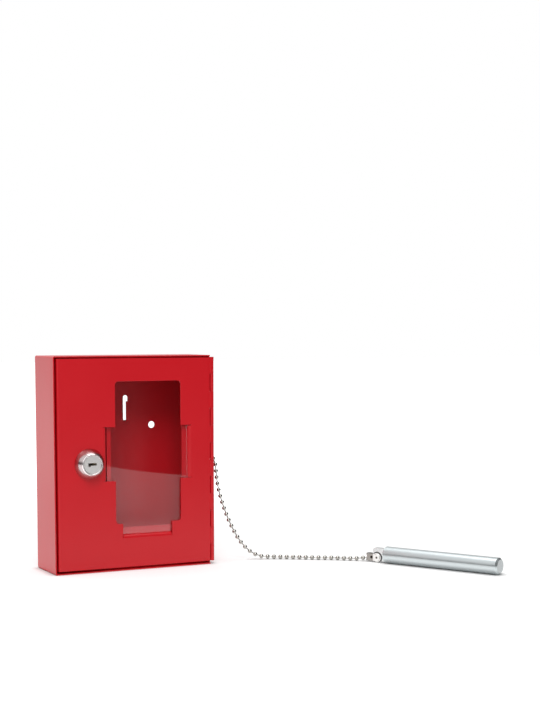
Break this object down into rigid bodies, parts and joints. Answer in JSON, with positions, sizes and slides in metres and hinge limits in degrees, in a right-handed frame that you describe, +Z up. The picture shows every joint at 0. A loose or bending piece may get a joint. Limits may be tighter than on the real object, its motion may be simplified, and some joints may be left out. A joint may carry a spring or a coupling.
{
  "type": "emergency key box",
  "caption": "Wall box for an emergency key: hinged sheet steel door with a glass pane in a notched window, cylinder cam lock, and a steel hammer on a bead chain.",
  "frame": {"origin": "middle of the underside of the box with its hinge barrel, as wide as 120 mm and as deep as 40 mm", "axes": "+Z up, the door faces -Y, the hinge is on the +X side and the back lies against the wall at +Y"},
  "size_m": [0.2784, 0.1769, 0.15],
  "materials": {
    "powder_coat": "smooth semi-gloss powder coat",
    "glass": "clear float glass",
    "chrome_plate": "polished",
    "plug_nickel": "fine turned",
    "zinc_steel": "zinc plated",
    "steel": "drawn wire",
    "brass": "stamped",
    "chain_nickel": "nickel plated",
    "coupling_nickel": "nickel plated",
    "hammer_steel": "bright zinc plated"
  },
  "bodies": {
    "housing": {"housing": "powder_coat", "hinge_pin": "steel", "cam_keeper": "powder_coat", "ball_chain": "chain_nickel", "chain_coupling": "coupling_nickel", "coupling_rivet": "coupling_nickel"},
    "door": {"door_panel": "powder_coat", "lock_housing": "chrome_plate", "lock_nut": "zinc_steel"},
    "plug": {"lock_plug": "plug_nickel", "wafer_1": "brass", "wafer_2": "brass", "wafer_3": "brass", "wafer_4": "brass", "wafer_5": "brass", "wafer_spring_1": "steel", "wafer_spring_2": "steel", "wafer_spring_3": "steel", "wafer_spring_4": "steel", "wafer_spring_5": "steel", "lock_cam": "zinc_steel", "cam_washer": "zinc_steel", "cam_screw": "zinc_steel"},
    "pane": {"glass_pane": "glass"},
    "hammer": {"hammer": "hammer_steel"}
  },
  "joints": [
    {"name": "door_swing", "type": "hinge", "parent": "housing", "child": "door", "pos_m": [0.0585, -0.0185, 0.075], "axis": [0, 0, 1], "range_deg": [0, 150]},
    {"name": "lock_turn", "type": "hinge", "parent": "door", "child": "plug", "pos_m": [-0.0348, -0.02, 0.0758], "axis": [0, 1, 0], "range_deg": [0, 90]},
    {"name": "pane_lift", "type": "slide", "parent": "door", "child": "pane", "axis": [0, 0, 1], "range_m": [0, 0.01]},
    {"name": "hammer_swing", "type": "hinge", "parent": "housing", "child": "hammer", "pos_m": [0.16854, -0.0676, 0.0035], "axis": [-0.8878, -0.4602, 0], "range_deg": [0, 45]}
  ]
}
